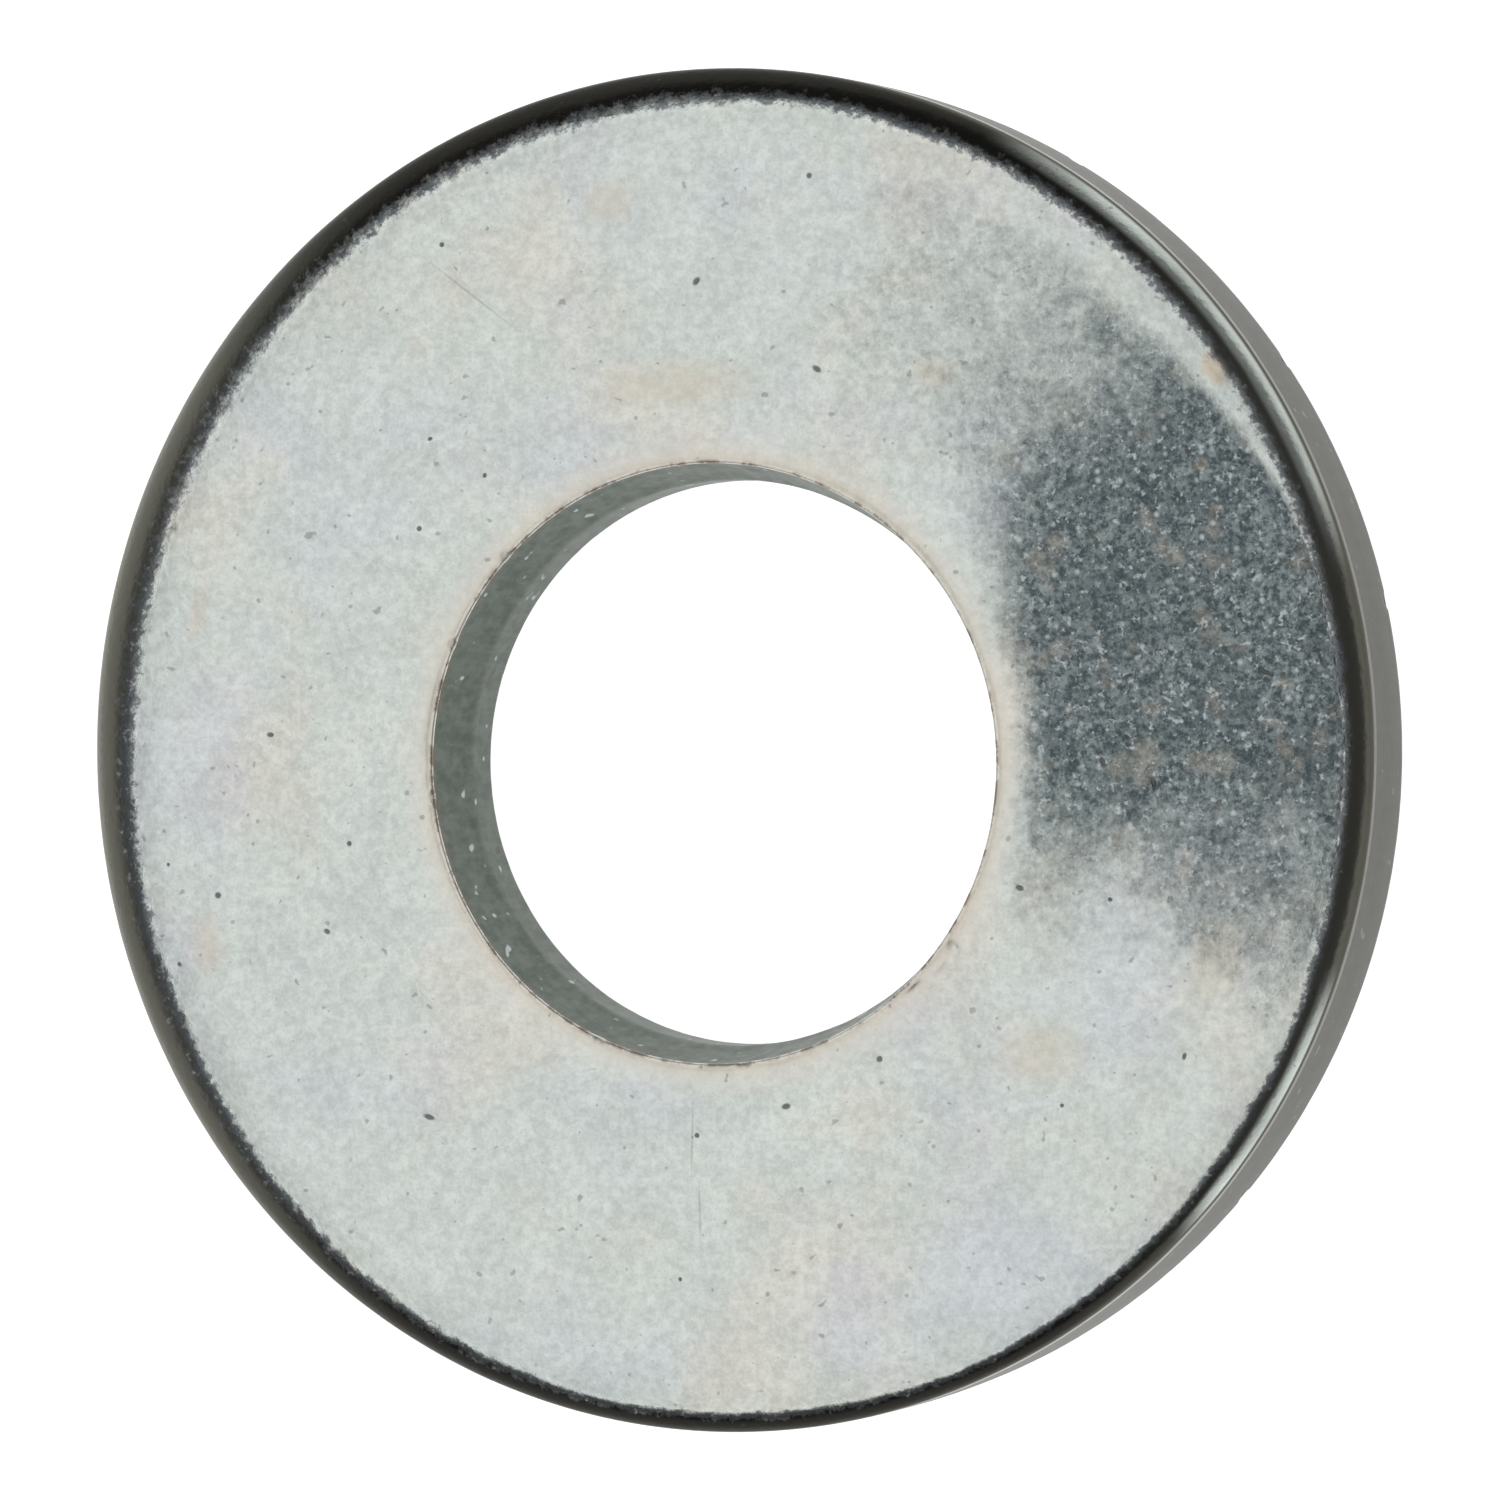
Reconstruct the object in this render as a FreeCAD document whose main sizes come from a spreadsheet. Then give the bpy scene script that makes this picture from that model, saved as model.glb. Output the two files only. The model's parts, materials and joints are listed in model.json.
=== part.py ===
import FreeCAD, Part
import Sketcher
import math
import os

# A flat washer stamped from steel strip in a progressive die, in millimetres.
# The back face rests on Z = 0, and +Z is the blank's own axis.  The blank was punched towards the back,
# so the die rolled the outer edge over on the front face.  The bore was pierced towards the front, so its
# rolled edge and its burnished land are at the back, and its wider breakout opens on the front face.

# Driving dimensions: the alias in the sheet, the value, what it measures.
DIMENSIONS = [
    ("outer_diameter", 22.2, "burnished outer wall"),
    ("thickness", 2.1, "back face to front face"),
    ("outer_roll_width", 0.62, "radial width of the rolled outer edge"),
    ("outer_roll_depth", 0.48, "how far the rolled outer edge reaches down the wall"),
    ("outer_roll_radius", 0.3, "radius where the roll turns into the outer wall"),
    ("outer_break_height", 0.95, "height of the fractured band above the back face"),
    ("outer_break_inset", 0.03, "how much smaller the radius is at the back edge"),
    ("bore_diameter", 9.25, "burnished land, the narrowest part of the bore"),
    ("bore_land_length", 0.8, "length of the burnished land"),
    ("bore_roll_depth", 0.16, "how far the rolled bore edge reaches up from the back face"),
    ("bore_roll_width", 0.07, "radial width of the rolled bore edge on the back face"),
    ("bore_mouth_diameter", 9.75, "breakout where it meets the front face"),
    ("bore_offset", 0.21, "bore axis from the blank's axis, towards -Y"),
    ("cut_margin", 1.0, "how far the piercing cut runs past each face"),
]
SIZE = {alias: value for alias, value, meaning in DIMENSIONS}

ORIGIN = -1
START = 1
END = 2

doc = FreeCAD.newDocument("flat_washer")


def make_sheet():
    """The sheet of driving dimensions, one to a row, each value under its alias."""
    sheet = doc.addObject("Spreadsheet::Sheet", "sizes")
    for row, (alias, value, meaning) in enumerate(DIMENSIONS, start=1):
        sheet.set(f"A{row}", alias)
        sheet.set(f"B{row}", str(value))
        sheet.set(f"C{row}", meaning)
        sheet.setAlias(f"B{row}", alias)
    doc.recompute()


def radial_sketch(body, name):
    """A sketch on the body's XZ plane, where x is the radius and y is the height."""
    sketch = body.newObject("Sketcher::SketchObject", name)
    planes = [feature for feature in body.Origin.OriginFeatures if feature.Role == "XZ_Plane"]
    sketch.AttachmentSupport = [(planes[0], "")]
    sketch.MapMode = "FlatFace"
    return sketch


def line(start, end):
    return Part.LineSegment(FreeCAD.Vector(*start, 0), FreeCAD.Vector(*end, 0))


def arc(centre, radius, start_angle, end_angle):
    circle = Part.Circle(FreeCAD.Vector(*centre, 0), FreeCAD.Vector(0, 0, 1), radius)
    return Part.ArcOfCircle(circle, start_angle, end_angle)


def hold(sketch, kind, where, value, expression):
    """A dimension of the sketch, worked out from the sheet by the expression."""
    row = sketch.addConstraint(Sketcher.Constraint(kind, *where, value))
    sketch.setExpression(f"Constraints[{row}]", expression)


def place(sketch, edge, end, x, y, x_expression, y_expression):
    """Holds one end of an edge at a radius and a height from the sketch's origin."""
    hold(sketch, "DistanceX", (ORIGIN, START, edge, end), x, x_expression)
    hold(sketch, "DistanceY", (ORIGIN, START, edge, end), y, y_expression)


def join(sketch, kind, first, first_end, second, second_end):
    sketch.addConstraint(Sketcher.Constraint(kind, first, first_end, second, second_end))


def draw_blank(sketch):
    """Half the blank's section: back face, fractured band, burnished wall, roll and front face."""
    radius = SIZE["outer_diameter"] / 2
    back_radius = radius - SIZE["outer_break_inset"]
    top = SIZE["thickness"]
    shoulder = top - SIZE["outer_roll_depth"]
    face_radius = radius - SIZE["outer_roll_width"]
    # The roll is a wide arc tangent to the front face and a small one tangent to the wall.
    small = SIZE["outer_roll_radius"]
    depth = SIZE["outer_roll_depth"]
    inset = SIZE["outer_roll_width"] - small
    large = (inset**2 + depth**2 - small**2) / (2 * (depth - small))
    turn = math.atan2(large - depth, inset)

    back, broken, wall, corner, roll, front, axis = range(7)
    sketch.addGeometry(line((0, 0), (back_radius, 0)))
    sketch.addGeometry(line((back_radius, 0), (radius, SIZE["outer_break_height"])))
    sketch.addGeometry(line((radius, SIZE["outer_break_height"]), (radius, shoulder)))
    sketch.addGeometry(arc((radius - small, shoulder), small, 0, turn))
    sketch.addGeometry(arc((face_radius, top - large), large, turn, math.pi / 2))
    sketch.addGeometry(line((face_radius, top), (0, top)))
    sketch.addGeometry(line((0, top), (0, 0)))

    join(sketch, "Coincident", back, START, ORIGIN, START)
    join(sketch, "Coincident", back, END, broken, START)
    join(sketch, "Coincident", broken, END, wall, START)
    join(sketch, "Tangent", wall, END, corner, START)
    join(sketch, "Tangent", corner, END, roll, START)
    join(sketch, "Tangent", roll, END, front, START)
    join(sketch, "Coincident", front, END, axis, START)
    join(sketch, "Coincident", axis, END, ORIGIN, START)
    sketch.addConstraint(Sketcher.Constraint("Horizontal", back))
    sketch.addConstraint(Sketcher.Constraint("Vertical", wall))
    sketch.addConstraint(Sketcher.Constraint("Horizontal", front))
    sketch.addConstraint(Sketcher.Constraint("Vertical", axis))

    wall_x = "sizes.outer_diameter / 2"
    back_x = "sizes.outer_diameter / 2 - sizes.outer_break_inset"
    face_x = "sizes.outer_diameter / 2 - sizes.outer_roll_width"
    shoulder_y = "sizes.thickness - sizes.outer_roll_depth"
    hold(sketch, "DistanceX", (ORIGIN, START, back, END), back_radius, back_x)
    place(sketch, wall, START, radius, SIZE["outer_break_height"], wall_x, "sizes.outer_break_height")
    hold(sketch, "DistanceY", (ORIGIN, START, wall, END), shoulder, shoulder_y)
    hold(sketch, "Radius", (corner,), small, "sizes.outer_roll_radius")
    place(sketch, front, START, face_radius, top, face_x, "sizes.thickness")


def draw_bore(sketch):
    """Half the pierced slug's section: rolled back edge, burnished land, breakout and front mouth."""
    land_radius = SIZE["bore_diameter"] / 2
    back_radius = land_radius + SIZE["bore_roll_width"]
    mouth_radius = SIZE["bore_mouth_diameter"] / 2
    land_start = SIZE["bore_roll_depth"]
    land_end = land_start + SIZE["bore_land_length"]
    top = SIZE["thickness"]
    below = -SIZE["cut_margin"]
    above = top + SIZE["cut_margin"]
    roll_radius = (SIZE["bore_roll_width"] ** 2 + land_start**2) / (2 * SIZE["bore_roll_width"])
    roll_turn = math.asin(land_start / roll_radius)
    roll_centre = (land_radius + roll_radius, land_start)

    bottom, entry, roll, land, breakout, mouth, lid, axis = range(8)
    sketch.addGeometry(line((0, below), (back_radius, below)))
    sketch.addGeometry(line((back_radius, below), (back_radius, 0)))
    sketch.addGeometry(arc(roll_centre, roll_radius, math.pi, math.pi + roll_turn))
    sketch.addGeometry(line((land_radius, land_start), (land_radius, land_end)))
    sketch.addGeometry(line((land_radius, land_end), (mouth_radius, top)))
    sketch.addGeometry(line((mouth_radius, top), (mouth_radius, above)))
    sketch.addGeometry(line((mouth_radius, above), (0, above)))
    sketch.addGeometry(line((0, above), (0, below)))

    join(sketch, "Coincident", bottom, END, entry, START)
    join(sketch, "Coincident", entry, END, roll, END)
    join(sketch, "Tangent", roll, START, land, START)
    join(sketch, "Coincident", land, END, breakout, START)
    join(sketch, "Coincident", breakout, END, mouth, START)
    join(sketch, "Coincident", mouth, END, lid, START)
    join(sketch, "Coincident", lid, END, axis, START)
    join(sketch, "Coincident", axis, END, bottom, START)
    for level in (bottom, lid):
        sketch.addConstraint(Sketcher.Constraint("Horizontal", level))
    for upright in (entry, land, mouth, axis):
        sketch.addConstraint(Sketcher.Constraint("Vertical", upright))

    land_x = "sizes.bore_diameter / 2"
    back_x = "sizes.bore_diameter / 2 + sizes.bore_roll_width"
    mouth_x = "sizes.bore_mouth_diameter / 2"
    land_end_y = "sizes.bore_roll_depth + sizes.bore_land_length"
    above_y = "sizes.thickness + sizes.cut_margin"
    hold(sketch, "DistanceX", (axis, END, ORIGIN, START), 0, "0")
    hold(sketch, "DistanceY", (bottom, START, ORIGIN, START), -below, "sizes.cut_margin")
    place(sketch, entry, END, back_radius, 0, back_x, "0")
    place(sketch, land, START, land_radius, land_start, land_x, "sizes.bore_roll_depth")
    hold(sketch, "DistanceY", (ORIGIN, START, land, END), land_end, land_end_y)
    place(sketch, mouth, START, mouth_radius, top, mouth_x, "sizes.thickness")
    hold(sketch, "DistanceY", (ORIGIN, START, mouth, END), above, above_y)


def turn_feature(body, kind, name, sketch):
    """A full turn of a sketch about its own vertical axis."""
    feature = body.newObject(kind, name)
    feature.Profile = sketch
    feature.ReferenceAxis = (sketch, ["V_Axis"])
    feature.Angle = 360
    doc.recompute()
    return feature


def check_cut(before, after):
    """The bore has to take away more than its land's cylinder and less than its mouth's."""
    removed = before.Volume - after.Volume
    least = math.pi * (SIZE["bore_diameter"] / 2) ** 2 * SIZE["thickness"]
    most = math.pi * (SIZE["bore_mouth_diameter"] / 2) ** 2 * SIZE["thickness"]
    if not least < removed < most:
        raise RuntimeError(f"the bore removed {removed:.1f} mm3, not {least:.1f} to {most:.1f}")


def make_washer():
    """The washer: a turned blank with the bore pierced through it."""
    body = doc.addObject("PartDesign::Body", "washer")
    body.Label = "washer"
    blank_sketch = radial_sketch(body, "blank_section")
    draw_blank(blank_sketch)
    blank = turn_feature(body, "PartDesign::Revolution", "blank", blank_sketch)

    bore_sketch = radial_sketch(body, "bore_section")
    bore_sketch.setExpression("AttachmentOffset.Base.z", "sizes.bore_offset")
    draw_bore(bore_sketch)
    bore = turn_feature(body, "PartDesign::Groove", "bore", bore_sketch)
    check_cut(blank.Shape, bore.Shape)
    return body


def check_document():
    for item in doc.Objects:
        if "Invalid" in item.State or "Error" in item.State:
            raise RuntimeError(f"{item.Label} failed to recompute: {item.State}")
        if item.isDerivedFrom("Sketcher::SketchObject") and item.solve() != 0:
            raise RuntimeError(f"{item.Label} could not be solved")


def write_parts(bodies):
    os.makedirs("parts", exist_ok=True)
    for body in bodies:
        if body.Shape.isNull() or not body.Shape.isValid():
            raise RuntimeError(f"{body.Label} has no valid shape")
        body.Shape.exportStep(f"parts/{body.Label}.step")
        box = body.Shape.optimalBoundingBox()
        print(f"{body.Label}: {box.XLength:.3f} x {box.YLength:.3f} x {box.ZLength:.3f} mm")
        print(f"{body.Label}: volume {body.Shape.Volume:.2f} mm3")


make_sheet()
washer = make_washer()
check_document()
write_parts([washer])
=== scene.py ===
"""A flat washer stamped from steel strip and zinc plated, lying on a pale floor.

Lengths are in millimetres until a mesh is made.  The washer's axis is +Z and its back face is on Z = 0.
"""

import json
import math

import bpy
import numpy as np
from mathutils import Matrix, Vector


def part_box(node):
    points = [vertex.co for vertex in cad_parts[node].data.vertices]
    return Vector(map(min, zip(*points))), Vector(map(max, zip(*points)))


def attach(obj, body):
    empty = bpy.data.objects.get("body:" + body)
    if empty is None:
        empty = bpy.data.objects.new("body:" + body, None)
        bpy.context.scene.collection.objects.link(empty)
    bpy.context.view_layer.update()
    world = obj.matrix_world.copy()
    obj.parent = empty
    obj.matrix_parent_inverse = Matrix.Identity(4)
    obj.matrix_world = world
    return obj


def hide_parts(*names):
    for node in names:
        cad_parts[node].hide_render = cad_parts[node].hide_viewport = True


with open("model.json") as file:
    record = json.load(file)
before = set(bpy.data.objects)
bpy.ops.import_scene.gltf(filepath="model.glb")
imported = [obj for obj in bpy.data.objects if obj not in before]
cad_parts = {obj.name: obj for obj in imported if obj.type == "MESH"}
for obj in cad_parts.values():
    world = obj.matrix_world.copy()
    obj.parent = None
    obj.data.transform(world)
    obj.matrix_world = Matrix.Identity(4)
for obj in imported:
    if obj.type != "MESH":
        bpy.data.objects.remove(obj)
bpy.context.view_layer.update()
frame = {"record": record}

MM = 0.001

# ---- sizes taken from the frame ----------------------------------------------------------------------------
low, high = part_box("washer")
bore_mount = next(mount for mount in frame["record"]["mounts"] if mount["name"] == "bore")
RADIUS = (high.x - low.x) / 2 / MM
THICKNESS = (high.z - low.z) / MM
LAND_RADIUS = bore_mount["dims"]["r_mm"]
LAND_LENGTH = bore_mount["dims"]["length_mm"]
LAND_MIDDLE = bore_mount["pos_m"][2] / MM
BORE_Y = bore_mount["pos_m"][1] / MM

# ---- sizes that the CAD section has too --------------------------------------------------------------------
ROLL_WIDTH = 0.62
ROLL_DEPTH = 0.48
ROLL_CORNER = 0.30
BREAK_HEIGHT = 0.95
BREAK_INSET = 0.03
MOUTH_RADIUS = 4.875
BORE_ROLL_WIDTH = 0.07

# ---- surface detail ----------------------------------------------------------------------------------------
SEGMENTS = 672
LATTICE = 64
FACE_DROP = 0.03
SHOULDER_WIDTH = 0.7
SHOULDER_DROP = 0.035
LIP_WIDTH = 0.16
BURR_DROP = 0.006
EDGE_ROUND = 0.025

# How many rings each stretch of the section has.
BORE_EDGE_RINGS = 5
LAND_RINGS = 6
BREAKOUT_RINGS = 15
FACE_RINGS = 60
ROLL_ARC_RINGS = 24
ROLL_CORNER_RINGS = 8
SHEARED_RINGS = 7
FRACTURE_RINGS = 10
BACK_RINGS = 9

# The thin burr round the mouth: how far out from the mouth, and height over the nominal face.
LIP_START_DROP = 0.05
LIP_PROFILE = [(0, -LIP_START_DROP), (0.012, -0.026), (0.035, -0.018), (0.08, -0.021), (0.12, -0.028)]

# The strip lay a little off the die, so the roll is widest on one side and narrowest opposite, and it is a
# little oval.
ROLL_KINK = math.radians(12)
ROLL_MEAN = 0.59
ROLL_SWING = 0.245
ROLL_OVAL = 0.10
ROLL_WIDEST = math.radians(140)
# Where the roll is narrow it is shallower: the share of its depth at no width, and what each mm adds.
SHALLOWEST = 0.45
DEEPER_PER_MM = 0.62
# How much of the roll the painted dark line (painted shade) beside the face takes, and where that line has
# gaps, in degrees.
LINE_SHARE = 0.32
LINE_GAP_MIDDLE = 122

# The coarse area of the front face, whose darker colour is a painted reflection over its real grain, in
# degrees round the blank: where it fades in and fades out.
# A weak trace of it goes on a little further.
COARSE_SHADE_FADE_IN = (-35, 2)
COARSE_SHADE_FADE_OUT = (24, 60)
COARSE_SHADE_TRACE_ENDS = 84
COARSE_SHADE_TRACE = 0.25

# Where the painted shade is left off the roll's lower edge, so the bare zinc there mirrors the bright floor:
# angle, half width in degrees.
UNSHADED_SECTORS = [(38, 26), (-33, 14)]

# Chips round the bore's mouth and nicks round the back edge, in degrees.
CHIP_ANGLES = [135, 155, 185, 245, 275]
NICK_ANGLES = [11, 33, 58, 140, 205, 262, 318]

# Places on the front face, in mm from the blank's axis.
DENT = (8.7, 5.85)
# Its tan stain: half length, half width, degrees.
DENT_STAIN = (0.4, 0.24, 125)
FOLD = [(3.9, -3.0), (4.1, -3.3), (3.9, -3.7), (3.0, -4.1)]

# Faint scratches: x, y, half length, half width, degrees.
SCRATCHES = [
    (-0.4, -7.5, 0.7, 0.035, 90),
    (-0.5, -6.3, 0.9, 0.03, 87),
    (-4.0, 7.6, 1.4, 0.03, -38),
]

# Warm stains in the plating: the same five numbers.
STAINS = [
    (-9.0, 2.5, 0.8, 0.25, 75),
    (-0.5, 6.0, 2.0, 0.6, 0),
    (4.0, 6.0, 0.7, 0.35, -10),
    (-1.5, 9.0, 0.7, 0.6, 0),
    (5.5, -5.0, 1.0, 0.8, 0),
    (-9.0, -3.0, 0.8, 0.5, 90),
    (8.5, -3.5, 1.2, 0.7, 60),
]

# Small dark pits, scattered from a seed.
PIT_SEED = 51
PIT_COUNT = 30
PIT_LONGEST = 0.13
PIT_WIDEST = 0.065

# How far the wear moves the surface, in mm.
UNDULATION = 0.008
FINE_UNDULATION = 0.002
COARSE_GRAIN = 0.004
ROLL_START_LUMPS = 0.005
PIT_DEPTH = 0.012
FOLD_DEPTH = 0.03
FOLD_HALF_WIDTH = 0.09
DENT_RISE = 0.05
CHIP_DEPTH = 0.035
NICK_DEPTH = 0.04
WALL_TEARS = 0.002
LAND_TEARS = 0.003
BREAKOUT_TEARS = 0.018

# ---- colours, linear ---------------------------------------------------------------------------------------
ZINC = (0.69, 0.745, 0.705, 1)
CREAM = (0.78, 0.725, 0.64, 1)
LAVENDER = (0.65, 0.67, 0.74, 1)
TAN = (0.66, 0.56, 0.43, 1)
# Painted reflection: the coarse area's dark and middle tones stand in for dark surroundings mirrored there.
COARSE_SHADE_DARK = (0.07, 0.092, 0.099, 1)
COARSE_SHADE_MIDDLE = (0.27, 0.315, 0.32, 1)
COARSE_BRIGHT = (0.50, 0.56, 0.57, 1)
PIT_DARK = (0.10, 0.09, 0.075, 1)
# Painted shade: the outer wall's base is darkened far below zinc to stand in for the shade it mirrors.
WALL_SHADE = (0.072, 0.071, 0.057, 1)
WALL_SHADE_DARK = (0.06, 0.06, 0.049, 1)
# Painted shade on the roll: its grey band, the black at its top and bottom, and the dark line beside the
# face.
ROLL_GREY = (0.15, 0.15, 0.128, 1)
BAND_SHADE_BLACK = (0.036, 0.035, 0.031, 1)
LINE_SHADE = (0.20, 0.215, 0.225, 1)
# Painted shade: the bore wall's base is darkened well below zinc to stand in for the shade it mirrors.
BORE_SHADE = (0.14, 0.163, 0.14, 1)
BORE_SHADE_DARK = (0.095, 0.113, 0.096, 1)
LIP_BROWN = (0.16, 0.115, 0.075, 1)
FLOOR_COLOUR = (0.85, 0.85, 0.85, 1)

# ---- camera ------------------------------------------------------------------------------------------------
CAMERA_TILT = math.radians(20.13)
CAMERA_ROLL = math.radians(1.53)
CAMERA_DISTANCE = 13.1 * RADIUS
LENS = 212.0
AIM = (-0.07, -0.01)


def smooth(value, start, end):
    """0 before start and 1 after end, with a smooth turn between them; start may be above end."""
    t = np.clip((value - start) / (end - start), 0, 1)
    return t * t * (3 - 2 * t)


def value_noise(points, cell, seed):
    """Smooth noise from -1 to 1 at each point, with features about a cell across."""
    lattice = np.random.default_rng(seed).uniform(-1, 1, (LATTICE,) * 3)
    scaled = points / cell + LATTICE
    base = np.floor(scaled).astype(int)
    blend = smooth(scaled - base, 0, 1)
    total = np.zeros(points.shape[:-1])
    for corner in np.ndindex(2, 2, 2):
        index = (base + corner) % LATTICE
        weight = np.where(corner, blend, 1 - blend).prod(axis=-1)
        total += weight * lattice[index[..., 0], index[..., 1], index[..., 2]]
    return total


def blob(x, y, mark):
    """1 in the middle of an ellipse and 0 outside it; mark is x, y, half length, half width, degrees."""
    centre_x, centre_y, half_length, half_width, degrees = mark
    turn = math.radians(degrees)
    along = (x - centre_x) * math.cos(turn) + (y - centre_y) * math.sin(turn)
    across = (y - centre_y) * math.cos(turn) - (x - centre_x) * math.sin(turn)
    return smooth(np.hypot(along / half_length, across / half_width), 1, 0.35)


def groove(x, y, points, half_width):
    """1 on a bent line and 0 from half_width away."""
    nearest = np.full(x.shape, 1e9)
    for (ax, ay), (bx, by) in zip(points[:-1], points[1:]):
        length2 = (bx - ax) ** 2 + (by - ay) ** 2
        t = np.clip(((x - ax) * (bx - ax) + (y - ay) * (by - ay)) / length2, 0, 1)
        nearest = np.minimum(nearest, np.hypot(x - ax - t * (bx - ax), y - ay - t * (by - ay)))
    return smooth(nearest, half_width, 0)


def in_zones(zones, names):
    """True on the rings of the named zones, shaped to multiply a field of rings and segments."""
    return np.isin(zones, names)[:, None]


# ---- the washer's mesh -------------------------------------------------------------------------------------
class Section:
    """Rings from the bore's back edge, up the bore, over the front face, down the wall and along the back.

    A ring has one radius and one height for each segment, and a share: 0 when it is centred on the bore, 1
    when it is centred on the blank.  Its slope, in degrees, is how far it has turned down from the face."""

    def __init__(self):
        self.radii = []
        self.heights = []
        self.shares = []
        self.zones = []
        self.slopes = []

    def add(self, zone, share, radius, height, slope=0):
        self.radii.append(np.broadcast_to(radius, SEGMENTS))
        self.heights.append(np.broadcast_to(height, SEGMENTS))
        self.shares.append(share)
        self.zones.append(zone)
        self.slopes.append(slope)


ANGLE = np.arange(SEGMENTS) * 2 * math.pi / SEGMENTS
UNIT = np.stack([np.cos(ANGLE), np.sin(ANGLE), np.zeros(SEGMENTS)], axis=-1)


def bore_rings(section):
    land_start = LAND_MIDDLE - LAND_LENGTH / 2
    land_end = LAND_MIDDLE + LAND_LENGTH / 2
    for t in np.linspace(0, 1, BORE_EDGE_RINGS, endpoint=False):
        section.add("bore", 0, LAND_RADIUS + BORE_ROLL_WIDTH * (1 - t) ** 2, land_start * t)
    for t in np.linspace(0, 1, LAND_RINGS, endpoint=False):
        section.add("bore", 0, LAND_RADIUS, land_start + LAND_LENGTH * t)
    ragged_end = land_end + 0.1 * value_noise(UNIT * LAND_RADIUS, cell=0.6, seed=11)
    for t in np.linspace(0, 1, BREAKOUT_RINGS, endpoint=False):
        height = ragged_end + (THICKNESS - LIP_START_DROP - ragged_end) * t
        section.add("bore", 0, LAND_RADIUS + (MOUTH_RADIUS - LAND_RADIUS) * t, height)


def lip_rings(section):
    """A thin burr round the mouth, which stands just proud of the face."""
    burr = 0.5 + 0.5 * value_noise(UNIT * MOUTH_RADIUS, cell=0.6, seed=12)
    for out, rise in LIP_PROFILE:
        section.add("lip", 0, MOUTH_RADIUS + out, THICKNESS + rise - BURR_DROP * burr)


def roll_widths():
    """Width of the roll at each segment, which changes round the blank and wanders."""
    wander = 0.03 * value_noise(UNIT * RADIUS, cell=2.2, seed=13)
    wander += 0.02 * value_noise(UNIT * RADIUS, cell=0.4, seed=14)
    return ROLL_MEAN + ROLL_SWING * np.cos(ANGLE - ROLL_WIDEST) + ROLL_OVAL * np.cos(2 * ANGLE) + wander


# Width and depth of the roll at each segment.
WIDTH_AROUND = roll_widths()
DEPTH_AROUND = ROLL_DEPTH * np.minimum(SHALLOWEST + DEEPER_PER_MM * WIDTH_AROUND, 1)


def face_rings(section):
    """The flat face, which falls away gently just before the roll."""
    start = MOUTH_RADIUS + LIP_WIDTH
    end = RADIUS - WIDTH_AROUND
    for t in np.linspace(0, 1, FACE_RINGS, endpoint=False):
        radius = start + (end - start) * t
        fall = SHOULDER_DROP * np.clip(1 - (end - radius) / SHOULDER_WIDTH, 0, 1) ** 2
        section.add("face", t, radius, THICKNESS - FACE_DROP - fall)


def roll_rings(section):
    """A wide arc that leaves the face with a slight kink, then a small one tangent to the wall."""
    inset = ROLL_WIDTH - ROLL_CORNER
    wide = (inset**2 + ROLL_DEPTH**2 - ROLL_CORNER**2) / (2 * (ROLL_DEPTH - ROLL_CORNER))
    bend = math.pi / 2 - math.atan2(wide - ROLL_DEPTH, inset)
    full_width = wide * (math.sin(bend) - math.sin(ROLL_KINK)) + ROLL_CORNER * (1 - math.sin(bend))
    full_fall = wide * (math.cos(ROLL_KINK) - math.cos(bend)) + ROLL_CORNER * math.cos(bend)
    wide_slopes = np.linspace(ROLL_KINK, bend, ROLL_ARC_RINGS, endpoint=False)
    corner_slopes = np.linspace(bend, math.pi / 2, ROLL_CORNER_RINGS)
    for slope in np.concatenate([wide_slopes, corner_slopes]):
        if slope < bend:
            across = wide * (math.sin(slope) - math.sin(ROLL_KINK)) / full_width
            fall = wide * (math.cos(ROLL_KINK) - math.cos(slope)) / full_fall
        else:
            across = 1 - ROLL_CORNER * (1 - math.sin(slope)) / full_width
            fall = 1 - ROLL_CORNER * math.cos(slope) / full_fall
        radius = RADIUS - WIDTH_AROUND * (1 - across)
        top = THICKNESS - FACE_DROP - SHOULDER_DROP
        height = top - (top - THICKNESS + DEPTH_AROUND) * fall
        section.add("roll", 1, radius, height, math.degrees(slope))


def wall_rings(section):
    shoulder = THICKNESS - DEPTH_AROUND
    ragged = BREAK_HEIGHT + 0.12 * value_noise(UNIT * RADIUS, cell=0.8, seed=15)
    for t in np.linspace(0, 1, SHEARED_RINGS)[1:-1]:
        section.add("wall", 1, RADIUS, shoulder + (ragged - shoulder) * t, 90)
    for t in np.linspace(0, 1, FRACTURE_RINGS):
        section.add("wall", 1, RADIUS - BREAK_INSET * t**2, ragged + (EDGE_ROUND - ragged) * t, 90)
    section.add("wall", 1, RADIUS - BREAK_INSET - EDGE_ROUND * 0.35, EDGE_ROUND * 0.3, 90)


def back_rings(section):
    start = RADIUS - BREAK_INSET - EDGE_ROUND
    end = LAND_RADIUS + BORE_ROLL_WIDTH
    for t in np.linspace(0, 1, BACK_RINGS, endpoint=False):
        section.add("back", 1 - t, start + (end - start) * t, 0)


def washer_points():
    """The smooth stamped form, as points by ring and segment, with the zone of each ring."""
    section = Section()
    for add_rings in (bore_rings, lip_rings, face_rings, roll_rings, wall_rings, back_rings):
        add_rings(section)
    radii = np.array(section.radii)
    shares = np.array(section.shares)[:, None]
    points = np.zeros(radii.shape + (3,))
    points[..., 0] = radii * np.cos(ANGLE)
    points[..., 1] = radii * np.sin(ANGLE) + BORE_Y * (1 - shares)
    points[..., 2] = np.array(section.heights)
    slopes = np.broadcast_to(np.array(section.slopes)[:, None], radii.shape)
    return points, np.array(section.zones), slopes


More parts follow.
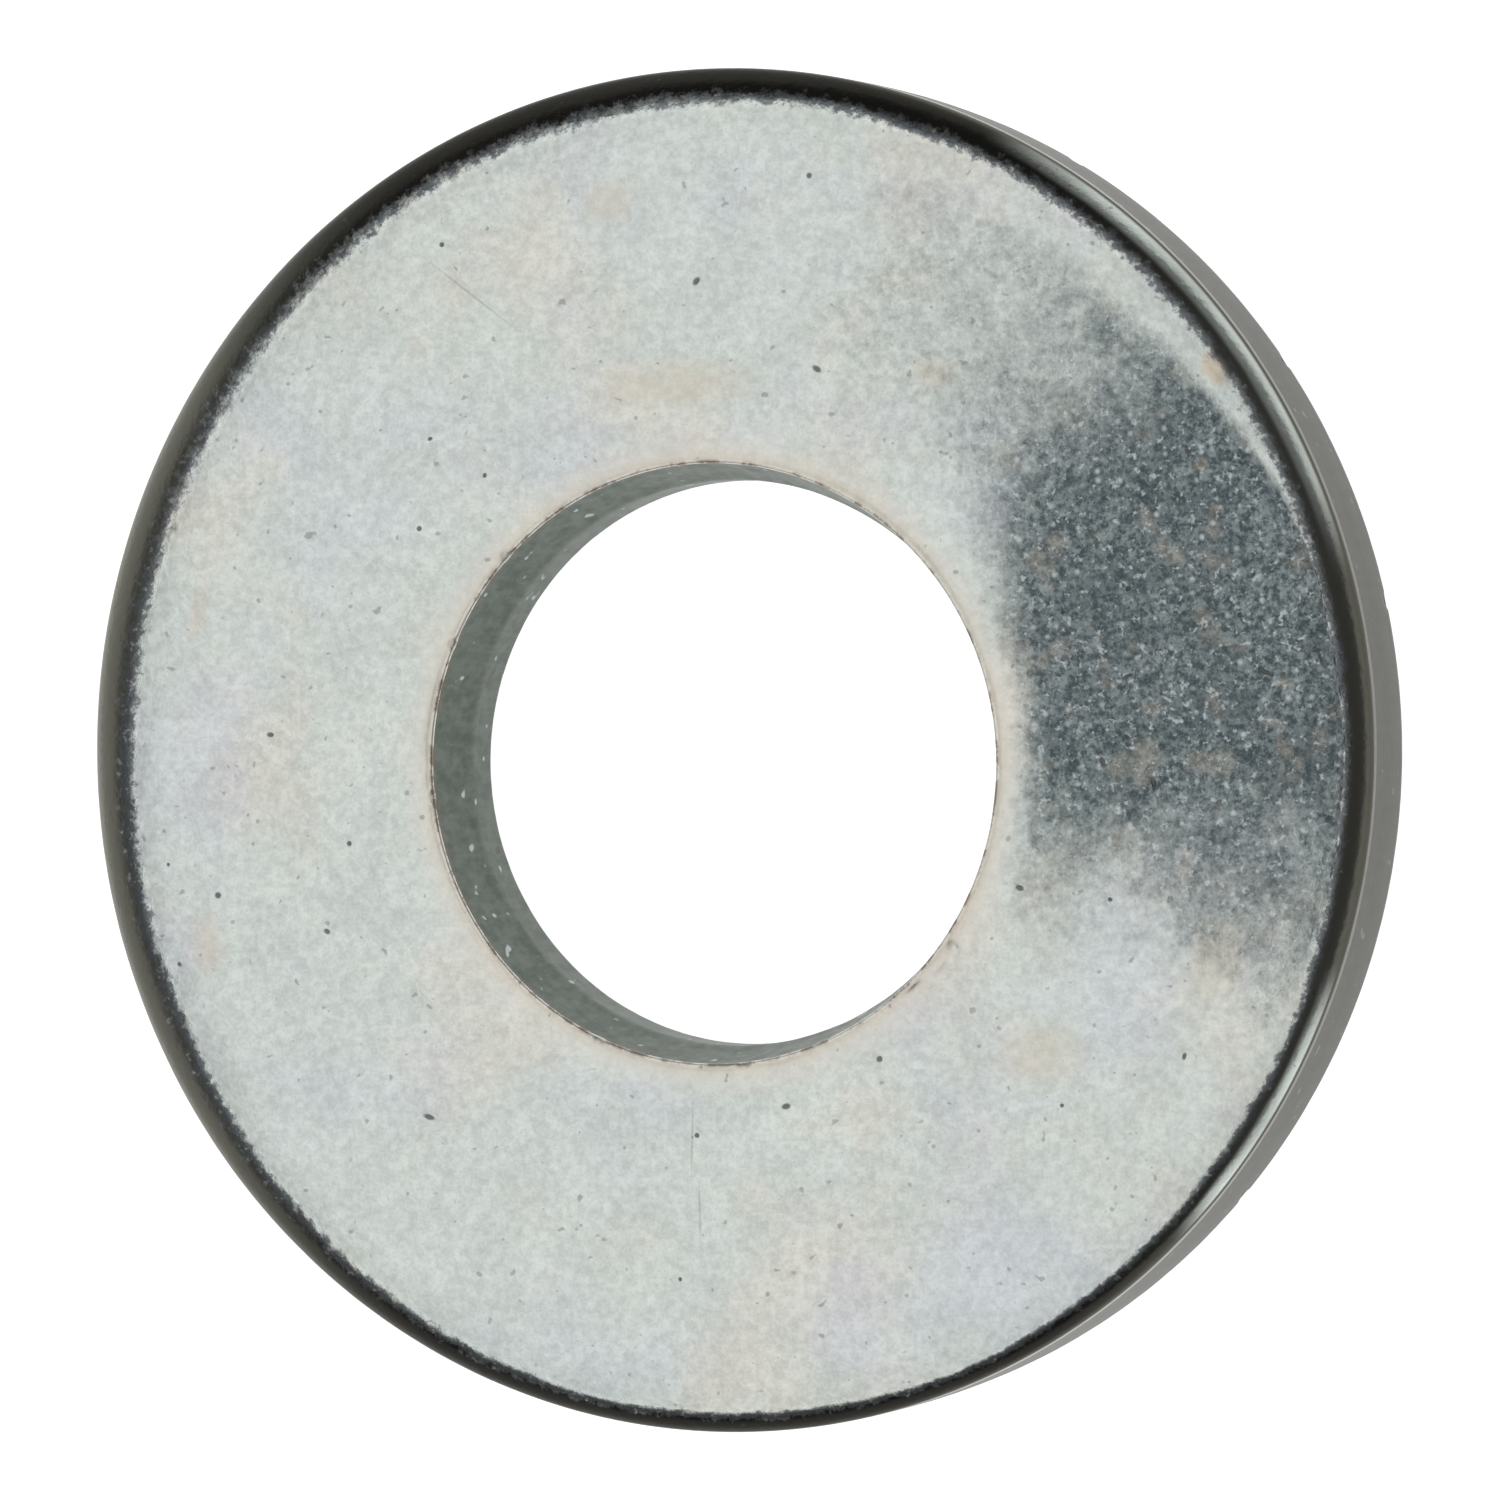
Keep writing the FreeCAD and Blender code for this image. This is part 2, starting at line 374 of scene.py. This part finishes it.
def coarse_and_shade_mask(points, angle, from_bore, from_roll):
    """The coarse sector, painted dark as a painted reflection over its real grain: full in its middle, a
    trace beyond it, and none by the bore and part of the roll.
    """
    ragged = 0.7 * value_noise(points, cell=1.4, seed=21) + 0.5 * value_noise(points, cell=0.4, seed=22)
    around = angle + 7 * ragged
    fade_out = (1 - COARSE_SHADE_TRACE) * smooth(around, *COARSE_SHADE_FADE_OUT)
    fade_out += COARSE_SHADE_TRACE * smooth(around, COARSE_SHADE_FADE_OUT[1], COARSE_SHADE_TRACE_ENDS)
    bright_band = 0.05 + 1.0 * smooth(angle, 12, 46) + 0.35 * smooth(angle, -12, -30)
    coarse_and_shade = smooth(around, *COARSE_SHADE_FADE_IN) * (1 - fade_out)
    coarse_and_shade *= smooth(from_bore + 0.2 * ragged, 0.1, 1.05 + 1.95 * smooth(angle, 12, 50))
    return coarse_and_shade * smooth(from_roll + 0.1, 0.3 * bright_band, bright_band)


def masks(points, zones, slopes):
    """What the materials read: 0 to 1 each, but past, the share across the roll, starts at -1."""
    x, y, z = points[..., 0], points[..., 1], points[..., 2]
    angle = np.degrees(np.arctan2(y, x))
    from_bore = np.hypot(x, y - BORE_Y) - MOUTH_RADIUS
    from_roll = RADIUS - WIDTH_AROUND - np.hypot(x, y)
    coarse_and_shade = coarse_and_shade_mask(points, angle, from_bore, from_roll)
    front = z > THICKNESS / 2
    unshaded = np.zeros(x.shape)
    for middle, half_width in UNSHADED_SECTORS:
        unshaded = np.maximum(unshaded, smooth(np.abs(angle - middle), half_width, half_width * 0.5))
    unshaded *= 0.85 + 0.15 * value_noise(points, cell=0.9, seed=23)
    return {
        "coarse_and_shade": coarse_and_shade * in_zones(zones, ["face", "roll"]),
        "halo": smooth(from_bore, 0.7, 0.1) * front,
        "roll": smooth(slopes, 0, 20),
        "past": np.clip(-from_roll / WIDTH_AROUND, -1, 1),
        # Where the painted dark line has gaps.
        "line_gaps": smooth(np.abs(angle - LINE_GAP_MIDDLE), 50, 20),
        # Painted shade: on the +X side the steep outer roll takes the wall's darkened colour.
        "steep": smooth(slopes, 50, 68) * smooth(x, 0, RADIUS / 2),
        # Where the painted shade is left off the roll's lower edge.
        "unshaded": unshaded * smooth(slopes, 34, 42) * smooth(slopes, 70, 56),
        # Painted shade: the roll band is darker towards +Y and -Y.
        "shade_top_bottom": smooth(np.abs(np.sin(np.radians(angle))), 0.5, 0.9),
        "height": z / THICKNESS,
        "lip": smooth(np.abs(from_bore), 0.06, 0.03) * smooth(z, THICKNESS - 0.3, THICKNESS - 0.05),
        "rim": smooth(np.abs(from_bore - 0.1), 0.09, 0.04) * front,
    }


def wear_face(points, zones, field):
    """Undulation, coarse grain, pits, the fold and the dent, and lumps where the roll starts."""
    x, y = points[..., 0], points[..., 1]
    front = in_zones(zones, ["face", "roll"]) * smooth(points[..., 2], THICKNESS - 0.3, THICKNESS - 0.15)
    from_start = np.hypot(x, y) - RADIUS + WIDTH_AROUND
    lift = UNDULATION * value_noise(points, cell=3.2, seed=31)
    lift += FINE_UNDULATION * value_noise(points, cell=0.7, seed=32)
    lift += COARSE_GRAIN * field["coarse_and_shade"] * value_noise(points, cell=0.2, seed=33)
    lumps = ROLL_START_LUMPS * smooth(np.abs(from_start), 0.2, 0)
    lift += lumps * value_noise(points, cell=0.2, seed=34)
    for pit_x, pit_y, half_length, half_width, degrees in PITS:
        lift -= PIT_DEPTH * blob(x, y, (pit_x, pit_y, half_length * 1.6, half_width * 1.8, degrees))
    lift -= FOLD_DEPTH * groove(x, y, FOLD, FOLD_HALF_WIDTH)
    reach = np.hypot(x - DENT[0], y - DENT[1])
    lift += DENT_RISE * smooth(reach, 0.30, 0.05)
    points[..., 2] += front * np.minimum(lift, FACE_DROP * 0.95)


def wear_edges(points, zones):
    """Chips at the mouth, nicks at the back edge, and torn metal on both sheared walls."""
    x, y, z = points[..., 0].copy(), points[..., 1].copy(), points[..., 2].copy()
    near_mouth = in_zones(zones, ["bore", "lip", "face"]) * smooth(z, THICKNESS - 0.35, THICKNESS - 0.05)
    for degrees in CHIP_ANGLES:
        chip_x = MOUTH_RADIUS * math.cos(math.radians(degrees))
        chip_y = MOUTH_RADIUS * math.sin(math.radians(degrees)) + BORE_Y
        points[..., 2] -= CHIP_DEPTH * near_mouth * smooth(np.hypot(x - chip_x, y - chip_y), 0.15, 0.03)

    along = points * np.array([1, 1, 0.14])
    torn = 0.6 * value_noise(along, cell=0.16, seed=41) + 0.4 * value_noise(points, cell=0.13, seed=42)
    outward = np.stack([x, y, np.zeros(x.shape)], axis=-1)
    outward /= np.linalg.norm(outward, axis=-1, keepdims=True)
    wall = in_zones(zones, ["wall"])
    shoulder = THICKNESS - ROLL_DEPTH
    depth = WALL_TEARS * wall * (1 + torn) * smooth(z, shoulder, shoulder - 0.6)
    for degrees in NICK_ANGLES:
        turn = np.abs((np.degrees(ANGLE) - degrees + 180) % 360 - 180)
        depth += NICK_DEPTH * smooth(RADIUS * np.radians(turn), 0.12, 0.02) * wall * smooth(z, 0.28, 0.0)
    points -= outward * depth[..., None]

    bore = in_zones(zones, ["bore"])
    land_end = LAND_MIDDLE + LAND_LENGTH / 2
    breakout = bore * smooth(z, land_end, land_end + 0.25)
    breakout *= smooth(z, THICKNESS, THICKNESS - 0.12)
    depth = (LAND_TEARS * bore + BREAKOUT_TEARS * breakout) * (1 + torn)
    points += outward * depth[..., None]


def scattered_pits():
    """Pits over the front face, each as x, y, half length, half width, degrees."""
    draw = np.random.default_rng(PIT_SEED)
    pits = []
    for _ in range(PIT_COUNT):
        angle = draw.uniform(0, 2 * math.pi)
        reach = math.sqrt(draw.uniform((MOUTH_RADIUS + 0.5) ** 2, (RADIUS - 0.9) ** 2))
        half_width = draw.uniform(0.5, 1) * PIT_WIDEST
        half_length = half_width + draw.uniform(0, 1) ** 3 * (PIT_LONGEST - half_width)
        degrees = draw.uniform(0, 180)
        pits.append((reach * math.cos(angle), reach * math.sin(angle), half_length, half_width, degrees))
    return pits


PITS = scattered_pits()


def build_washer():
    points, zones, slopes = washer_points()
    field = masks(points, zones, slopes)
    wear_face(points, zones, field)
    wear_edges(points, zones)
    points[..., 2] = np.clip(points[..., 2], 0, THICKNESS)

    rings = len(zones)
    ring, segment = np.meshgrid(np.arange(rings), np.arange(SEGMENTS), indexing="ij")
    after_ring, after_segment = (ring + 1) % rings, (segment + 1) % SEGMENTS
    corners = [(ring, segment), (after_ring, segment), (after_ring, after_segment), (ring, after_segment)]
    quads = np.stack([a * SEGMENTS + b for a, b in corners], axis=-1).reshape(-1, 4)

    mesh = bpy.data.meshes.new("washer_body")
    mesh.from_pydata((points.reshape(-1, 3) * MM).tolist(), [], quads.tolist())
    slots = {"face": 0, "roll": 0, "lip": 0, "wall": 1, "bore": 2, "back": 3}
    index = np.repeat([slots[zone] for zone in zones], SEGMENTS)
    mesh.polygons.foreach_set("material_index", index.astype(np.int32))
    mesh.polygons.foreach_set("use_smooth", np.ones(len(quads), dtype=bool))
    for name, values in field.items():
        layer = mesh.attributes.new(name, "FLOAT", "POINT")
        layer.data.foreach_set("value", np.ascontiguousarray(values, dtype=np.float32).ravel())
    for material in (front_material(), wall_material(), bore_material(), back_material()):
        mesh.materials.append(material)
    washer = bpy.data.objects.new("washer_body", mesh)
    bpy.context.scene.collection.objects.link(washer)
    return washer


# ---- materials ---------------------------------------------------------------------------------------------
class Graph:
    """Short calls for the shader nodes used here.  A value may be a socket or a constant."""

    def __init__(self, owner):
        owner.use_nodes = True
        self.owner = owner
        self.tree = owner.node_tree
        self.coordinates = self.tree.nodes.new("ShaderNodeTexCoord").outputs
        self.mm = self.vector("MULTIPLY", self.coordinates["Object"], (1 / MM,) * 3)

    def put(self, socket, value):
        if isinstance(value, bpy.types.NodeSocket):
            self.tree.links.new(value, socket)
        else:
            socket.default_value = value

    def attribute(self, name):
        node = self.tree.nodes.new("ShaderNodeAttribute")
        node.attribute_name = name
        return node.outputs["Fac"]

    def vector(self, operation, first, second):
        node = self.tree.nodes.new("ShaderNodeVectorMath")
        node.operation = operation
        self.put(node.inputs[0], first)
        self.put(node.inputs[1], second)
        return node.outputs["Vector"]

    def math(self, operation, first, second):
        node = self.tree.nodes.new("ShaderNodeMath")
        node.operation = operation
        self.put(node.inputs[0], first)
        self.put(node.inputs[1], second)
        return node.outputs["Value"]

    def mix(self, factor, first, second, blend_type="MIX"):
        node = self.tree.nodes.new("ShaderNodeMix")
        node.data_type = "RGBA"
        node.blend_type = blend_type
        factor_socket, first_socket, second_socket = [s for s in node.inputs if s.enabled]
        self.put(first_socket, first)
        self.put(second_socket, second)
        self.put(factor_socket, factor)
        return next(s for s in node.outputs if s.enabled)

    def span(self, value, start, end, low_value=0.0, high_value=1.0):
        """low_value before start and high_value after end, with a smooth turn between them."""
        node = self.tree.nodes.new("ShaderNodeMapRange")
        node.interpolation_type = "SMOOTHSTEP"
        self.put(node.inputs["Value"], value)
        ends = {"From Min": start, "From Max": end, "To Min": low_value, "To Max": high_value}
        for name, number in ends.items():
            node.inputs[name].default_value = number
        return node.outputs["Result"]

    def noise(self, per_mm, detail=2.0, roughness=0.5, vector=None):
        node = self.tree.nodes.new("ShaderNodeTexNoise")
        self.put(node.inputs["Vector"], self.mm if vector is None else vector)
        node.inputs["Scale"].default_value = per_mm
        node.inputs["Detail"].default_value = detail
        node.inputs["Roughness"].default_value = roughness
        return node.outputs["Fac"]

    def dots(self, per_mm, rarity):
        """Round grains in those cells whose random number is above rarity, and up to 1 as it nears 1."""
        node = self.tree.nodes.new("ShaderNodeTexVoronoi")
        self.put(node.inputs["Vector"], self.mm)
        node.inputs["Scale"].default_value = per_mm
        chance = self.tree.nodes.new("ShaderNodeSeparateColor")
        self.put(chance.inputs["Color"], node.outputs["Color"])
        inside = self.span(node.outputs["Distance"], 0.05, 0.38, 1.0, 0.0)
        return self.math("MULTIPLY", inside, self.span(chance.outputs["Red"], rarity, 1.0))

    def place(self, location, degrees, scale):
        """Position in mm, moved to the location, turned and divided by the scale."""
        node = self.tree.nodes.new("ShaderNodeMapping")
        node.vector_type = "TEXTURE"
        self.put(node.inputs["Vector"], self.mm)
        node.inputs["Location"].default_value = location
        node.inputs["Rotation"].default_value = (0, 0, math.radians(degrees))
        node.inputs["Scale"].default_value = scale
        return node.outputs["Vector"]

    def marks(self, marks, edge=0.4):
        """1 in the middle of each ellipse and 0 outside them all."""
        total = 0.0
        for x, y, half_length, half_width, degrees in marks:
            inside = self.place((x, y, THICKNESS), degrees, (half_length, half_width, THICKNESS))
            length = self.tree.nodes.new("ShaderNodeVectorMath")
            length.operation = "LENGTH"
            self.put(length.inputs[0], inside)
            shape = self.span(length.outputs["Value"], edge, 1.0, 1.0, 0.0)
            total = self.math("MAXIMUM", total, shape)
        return total

    def bump(self, height, distance_mm, strength=1.0, normal=None):
        node = self.tree.nodes.new("ShaderNodeBump")
        node.inputs["Distance"].default_value = distance_mm * MM
        node.inputs["Strength"].default_value = strength
        self.put(node.inputs["Height"], height)
        if normal is not None:
            self.put(node.inputs["Normal"], normal)
        return node.outputs["Normal"]

    def finish(self, colour, roughness, normal):
        shader = self.tree.nodes["Principled BSDF"]
        shader.inputs["Metallic"].default_value = 1.0
        self.put(shader.inputs["Base Color"], colour)
        self.put(shader.inputs["Roughness"], roughness)
        self.put(shader.inputs["Normal"], normal)
        return self.owner


def zinc_colour(graph):
    """Pale zinc with soft cream and lavender clouds and a fine grey mottle."""
    cream = graph.span(graph.noise(0.33, 3.0, 0.6), 0.46, 0.70, 0.0, 0.5)
    shifted = graph.vector("ADD", graph.mm, (31.0, 17.0, 5.0))
    lavender = graph.span(graph.noise(0.3, 3.0, 0.6, shifted), 0.48, 0.70, 0.0, 0.5)
    colour = graph.mix(cream, ZINC, CREAM)
    colour = graph.mix(lavender, colour, LAVENDER)
    fine = graph.span(graph.noise(7.0, 5.0, 0.75), 0.3, 0.7, 0.84, 1.10)
    broad = graph.span(graph.noise(0.9, 3.0, 0.6), 0.3, 0.7, 0.95, 1.03)
    mottle = graph.math("MULTIPLY", fine, broad)
    grey = graph.tree.nodes.new("ShaderNodeCombineColor")
    for name in ("Red", "Green", "Blue"):
        graph.put(grey.inputs[name], mottle)
    return graph.mix(1.0, colour, grey.outputs["Color"], "MULTIPLY")


def coarse_and_shade_colour(graph):
    """Crystalline zinc, darkened as a painted reflection: a fine blue-grey mottle with darker clouds, bright
    grains and a little tan.
    """
    mottle = graph.span(graph.noise(8.0, 4.0, 0.75), 0.38, 0.64)
    clouds = graph.span(graph.noise(1.1, 3.0, 0.6), 0.35, 0.62, 0.55, 1.0)
    colour = graph.mix(graph.math("MULTIPLY", mottle, clouds), COARSE_SHADE_DARK, COARSE_SHADE_MIDDLE)
    specks = graph.span(graph.noise(9.0, 3.0, 0.6), 0.56, 0.70, 0.0, 0.85)
    grains = graph.math("MAXIMUM", specks, graph.dots(5.2, 0.45))
    colour = graph.mix(grains, colour, COARSE_BRIGHT)
    tan = graph.span(graph.noise(1.6, 2.0), 0.56, 0.7, 0.0, 0.18)
    return graph.mix(tan, colour, TAN)


def roll_colour(graph, colour, dent):
    """Over the zinc, painted shade: a jagged dark line by the face, then a grey or black band, left off in
    places so the bare zinc shows.
    """
    jag = graph.span(graph.noise(5.0, 4.0, 0.75), 0.25, 0.75, -0.16, 0.16)
    past = graph.math("ADD", graph.attribute("past"), jag)
    flecks = graph.span(graph.noise(6.0, 2.0, 0.6), 0.58, 0.68, 1.0, 0.35)
    gapped = graph.span(graph.noise(4.0, 3.0, 0.7), 0.42, 0.60, 0.0, 0.55)
    gapped = graph.math("MULTIPLY", gapped, graph.attribute("line_gaps"))
    # Painted shade: the dark line beside the face, with gaps.
    line = graph.math("MULTIPLY", graph.span(past, 0.0, 0.16), flecks)
    line = graph.math("MULTIPLY", line, graph.math("SUBTRACT", 1.0, gapped))
    line = graph.math("MULTIPLY", line, graph.math("SUBTRACT", 1.0, dent))
    colour = graph.mix(line, colour, LINE_SHADE)
    # Painted shade: the roll's grey band, black towards +Y and -Y, wall-dark where steep on the +X side.
    band = graph.mix(graph.attribute("shade_top_bottom"), ROLL_GREY, BAND_SHADE_BLACK)
    band = graph.mix(graph.attribute("steep"), band, WALL_SHADE)
    # Where the painted shade is left off, the bare zinc shows.
    band = graph.mix(graph.attribute("unshaded"), band, ZINC)
    return graph.mix(graph.span(past, LINE_SHARE - 0.08, LINE_SHARE + 0.12), colour, band)


def front_material():
    """The front face with its marks, the roll, and the lip of the bore."""
    graph = Graph(bpy.data.materials.new("zinc_front"))
    area = graph.attribute("coarse_and_shade")
    jagged = graph.math("ADD", area, graph.math("MULTIPLY", graph.noise(5.0, 4.0, 0.7), 0.9))
    coarse_and_shade = graph.math("MULTIPLY", graph.span(jagged, 0.4, 1.5), graph.span(area, 0.0, 0.2))
    dashes = graph.span(graph.noise(3.0, 4.0, 0.7), 0.45, 0.6, 0.0, 0.75)
    dent = graph.marks([(*DENT, *DENT_STAIN)])
    pits = graph.marks(PITS)

    colour = zinc_colour(graph)
    colour = graph.mix(graph.math("MULTIPLY", graph.marks(STAINS, 0.1), 0.4), colour, TAN)
    colour = graph.mix(graph.math("MULTIPLY", graph.attribute("halo"), 0.5), colour, CREAM)
    # Painted reflection: the coarse area is darkened over its real grain.
    colour = graph.mix(coarse_and_shade, colour, coarse_and_shade_colour(graph))
    colour = graph.mix(graph.math("MULTIPLY", graph.attribute("rim"), 0.3), colour, TAN)
    colour = graph.mix(graph.math("MULTIPLY", graph.attribute("lip"), dashes), colour, LIP_BROWN)
    colour = roll_colour(graph, colour, dent)
    colour = graph.mix(graph.math("MULTIPLY", dent, 0.75), colour, TAN)
    colour = graph.mix(graph.span(graph.noise(5.5, 1.0, 0.5), 0.72, 0.78, 0.0, 0.4), colour, PIT_DARK)
    colour = graph.mix(graph.math("MULTIPLY", graph.marks(SCRATCHES, 0.1), 0.28), colour, PIT_DARK)
    colour = graph.mix(graph.math("MULTIPLY", pits, 0.85), colour, PIT_DARK)

    roughness = graph.span(graph.noise(5.0, 4.0, 0.7), 0.3, 0.7, 0.30, 0.34)
    roughness = graph.math("SUBTRACT", roughness, graph.math("MULTIPLY", graph.attribute("roll"), 0.12))
    fine = graph.math("ADD", graph.noise(7.0, 3.0, 0.6), graph.math("MULTIPLY", pits, -0.8))
    grain = graph.math("SUBTRACT", graph.noise(4.0, 3.0, 0.6), 0.5)
    bumps = graph.math("MULTIPLY", grain, graph.span(area, 0.0, 0.5))
    return graph.finish(colour, roughness, graph.bump(bumps, 0.03, 1.0, graph.bump(fine, 0.006)))


def sheared_colour(graph, light, dark, specks):
    """A punched wall: a base darkened as painted shade, with faint drawn streaks along the axis, and small
    bright and dark specks.
    """
    streaks = graph.noise(5.0, 3.0, 0.6, graph.vector("MULTIPLY", graph.mm, (1.0, 1.0, 0.18)))
    torn = graph.noise(4.5, 3.0, 0.65)
    relief = graph.math("MULTIPLY", graph.math("ADD", streaks, torn), 0.5)
    colour = graph.mix(graph.span(relief, 0.36, 0.62), dark, light)
    bright_specks = graph.span(graph.noise(3.6, 1.0), 0.70, 0.76, 0.0, specks)
    colour = graph.mix(bright_specks, colour, COARSE_BRIGHT)
    shifted = graph.vector("ADD", graph.mm, (13.0, 7.0, 3.0))
    dark_specks = graph.span(graph.noise(3.2, 1.0, 0.5, shifted), 0.70, 0.76, 0.0, specks)
    colour = graph.mix(dark_specks, colour, PIT_DARK)
    return colour, graph.bump(relief, 0.006)


def wall_material():
    graph = Graph(bpy.data.materials.new("sheared_wall"))
    # The wall's base colours are painted shade.
    colour, normal = sheared_colour(graph, WALL_SHADE, WALL_SHADE_DARK, 0.2)
    return graph.finish(colour, 0.42, normal)


def bore_material():
    graph = Graph(bpy.data.materials.new("sheared_bore"))
    # The bore wall's base colours are painted shade.
    colour, normal = sheared_colour(graph, BORE_SHADE, BORE_SHADE_DARK, 0.7)
    rim = graph.span(graph.attribute("height"), 0.91, 0.98, 0.0, 0.7)
    return graph.finish(graph.mix(rim, colour, LIP_BROWN), 0.45, normal)


def back_material():
    graph = Graph(bpy.data.materials.new("zinc_back"))
    roughness = graph.span(graph.noise(5.0, 4.0, 0.7), 0.3, 0.7, 0.3, 0.36)
    return graph.finish(zinc_colour(graph), roughness, graph.bump(graph.noise(6.0, 3.0, 0.6), 0.006))


# ---- stage, light and camera -------------------------------------------------------------------------------
FLOOR_RADIUS = 20.0
FLOOR_GLOW = 0.93
SOFTBOX_DISTANCE = 0.45
SOFTBOX_TILT = math.radians(22)
SOFTBOX_SIZE = (0.24, 0.38)
SOFTBOX_POWER = 0.10

# How bright the studio is by the sine of the elevation: pale low down, then a dark band above it.
STUDIO = [
    (0.00, (1.00, 1.00, 1.00, 1)),
    (0.06, (1.00, 1.00, 1.00, 1)),
    (0.30, (0.78, 0.78, 0.77, 1)),
    (0.48, (0.70, 0.70, 0.69, 1)),
    (0.60, (0.18, 0.18, 0.182, 1)),
    (1.00, (0.15, 0.15, 0.152, 1)),
]
# A bright ceiling panel: its lean towards -X, and how far out it is full and has ended.
CEILING_LEAN = math.radians(14)
CEILING_FULL = math.radians(22)
CEILING_ENDS = math.radians(31)
CEILING = (0.68, 0.68, 0.68, 1)


def make_floor():
    """A plain pale light table, so that the washer throws almost no shadow."""
    mesh = bpy.data.meshes.new("floor")
    reach = FLOOR_RADIUS
    corners = [(-reach, -reach, 0), (reach, -reach, 0), (reach, reach, 0), (-reach, reach, 0)]
    mesh.from_pydata(corners, [], [(0, 1, 2, 3)])
    material = bpy.data.materials.new("floor_pale")
    material.use_nodes = True
    shader = material.node_tree.nodes["Principled BSDF"]
    shader.inputs["Base Color"].default_value = FLOOR_COLOUR
    shader.inputs["Roughness"].default_value = 1.0
    shader.inputs["Specular IOR Level"].default_value = 0.0
    shader.inputs["Emission Color"].default_value = (1, 1, 1, 1)
    shader.inputs["Emission Strength"].default_value = FLOOR_GLOW
    mesh.materials.append(material)
    floor = bpy.data.objects.new("floor", mesh)
    bpy.context.scene.collection.objects.link(floor)


def make_studio():
    """The light all round: a pale low ring, a dark band and a bright ceiling panel."""
    world = bpy.data.worlds.new("studio")
    bpy.context.scene.world = world
    graph = Graph(world)
    direction = graph.coordinates["Generated"]
    height = graph.tree.nodes.new("ShaderNodeSeparateXYZ")
    graph.put(height.inputs["Vector"], direction)
    ring = graph.tree.nodes.new("ShaderNodeValToRGB")
    graph.put(ring.inputs["Fac"], height.outputs["Z"])
    stops = ring.color_ramp.elements
    stops[0].position, stops[0].color = STUDIO[0]
    stops[1].position, stops[1].color = STUDIO[-1]
    for position, colour in STUDIO[1:-1]:
        stops.new(position).color = colour
    lean = graph.tree.nodes.new("ShaderNodeVectorMath")
    lean.operation = "DOT_PRODUCT"
    graph.put(lean.inputs[0], direction)
    graph.put(lean.inputs[1], (-math.sin(CEILING_LEAN), 0, math.cos(CEILING_LEAN)))
    panel = graph.span(lean.outputs["Value"], math.cos(CEILING_ENDS), math.cos(CEILING_FULL))
    glow = graph.mix(panel, ring.outputs["Color"], CEILING)
    graph.put(graph.tree.nodes["Background"].inputs["Color"], glow)


def make_softbox():
    light = bpy.data.lights.new("softbox", "AREA")
    light.shape = "RECTANGLE"
    light.size, light.size_y = SOFTBOX_SIZE
    light.energy = SOFTBOX_POWER
    lamp = bpy.data.objects.new("softbox", light)
    away = Vector((-math.sin(SOFTBOX_TILT), 0, math.cos(SOFTBOX_TILT)))
    across = Vector((math.cos(SOFTBOX_TILT), 0, math.sin(SOFTBOX_TILT)))
    turn = Matrix((across, away.cross(across), away)).transposed().to_4x4()
    lamp.matrix_world = Matrix.Translation(away * SOFTBOX_DISTANCE) @ turn
    bpy.context.scene.collection.objects.link(lamp)


def make_camera():
    """Looks down at the tilt, leaning towards +X, with the picture turned a little about its own axis."""
    away = Vector((math.sin(CAMERA_TILT), 0, math.cos(CAMERA_TILT)))
    level_right = Vector((0, 1, 0)).cross(away).normalized()
    level_up = away.cross(level_right)
    right = level_right * math.cos(CAMERA_ROLL) - level_up * math.sin(CAMERA_ROLL)
    up = level_right * math.sin(CAMERA_ROLL) + level_up * math.cos(CAMERA_ROLL)
    place = away * CAMERA_DISTANCE + right * AIM[0] + up * AIM[1]

    data = bpy.data.cameras.new("camera")
    data.lens = LENS
    data.clip_start = 0.01
    data.clip_end = 100
    camera = bpy.data.objects.new("camera", data)
    camera.matrix_world = Matrix.Translation(place * MM) @ Matrix((right, up, away)).transposed().to_4x4()
    bpy.context.scene.collection.objects.link(camera)
    bpy.context.scene.camera = camera


bpy.context.scene.view_settings.view_transform = "Standard"
make_camera()
make_studio()
make_softbox()
make_floor()

washer_body = build_washer()
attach(washer_body, "root")
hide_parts("washer")
